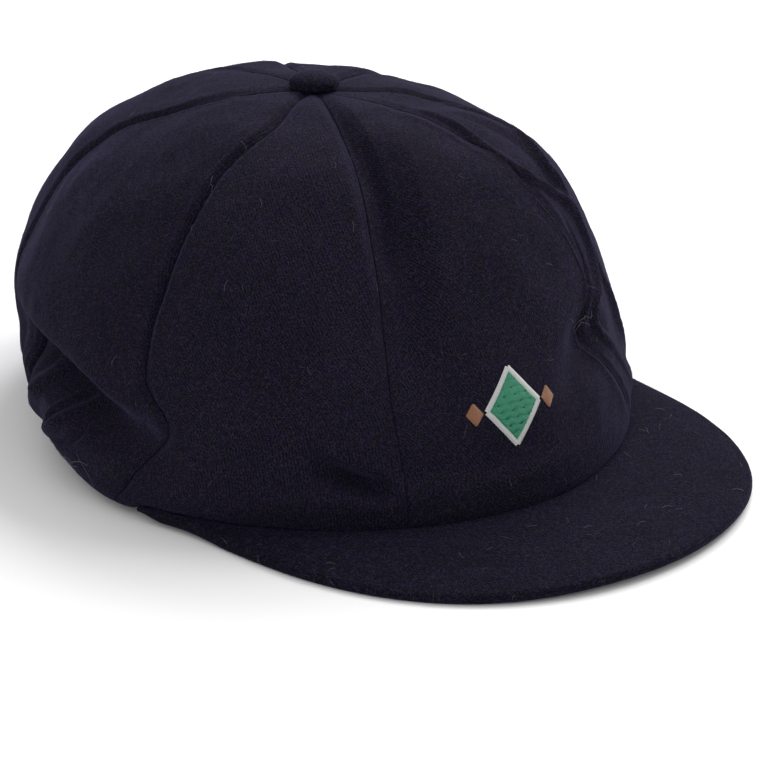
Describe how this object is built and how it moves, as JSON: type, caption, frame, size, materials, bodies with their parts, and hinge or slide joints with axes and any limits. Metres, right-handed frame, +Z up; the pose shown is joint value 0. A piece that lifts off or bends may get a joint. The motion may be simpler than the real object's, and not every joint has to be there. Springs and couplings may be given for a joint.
{
  "type": "cricket cap",
  "caption": "Baggy cricket cap in dark wool cloth: a full gathered crown sewn from panels, a cloth covered button on top and a short, nearly flat peak.",
  "frame": {"origin": "middle of the footprint, on the surface that the cap stands on", "axes": "+Z up, the peak points along -Y, the wearer's right is -X"},
  "size_m": [0.1914, 0.2534, 0.108],
  "materials": {
    "crown_cloth": "milled wool cloth with a short nap",
    "peak_cloth": "milled wool cloth over a stiff board",
    "button_cloth": "milled wool cloth drawn over a button",
    "badge_thread": "glossy embroidery thread"
  },
  "bodies": {
    "root": {"panel_front": "crown_cloth", "panel_front_right": "crown_cloth", "panel_right": "crown_cloth", "panel_back_right": "crown_cloth", "panel_back": "crown_cloth", "panel_back_left": "crown_cloth", "panel_left": "crown_cloth", "panel_front_left": "crown_cloth", "peak": "peak_cloth", "button": "button_cloth"}
  },
  "joints": []
}
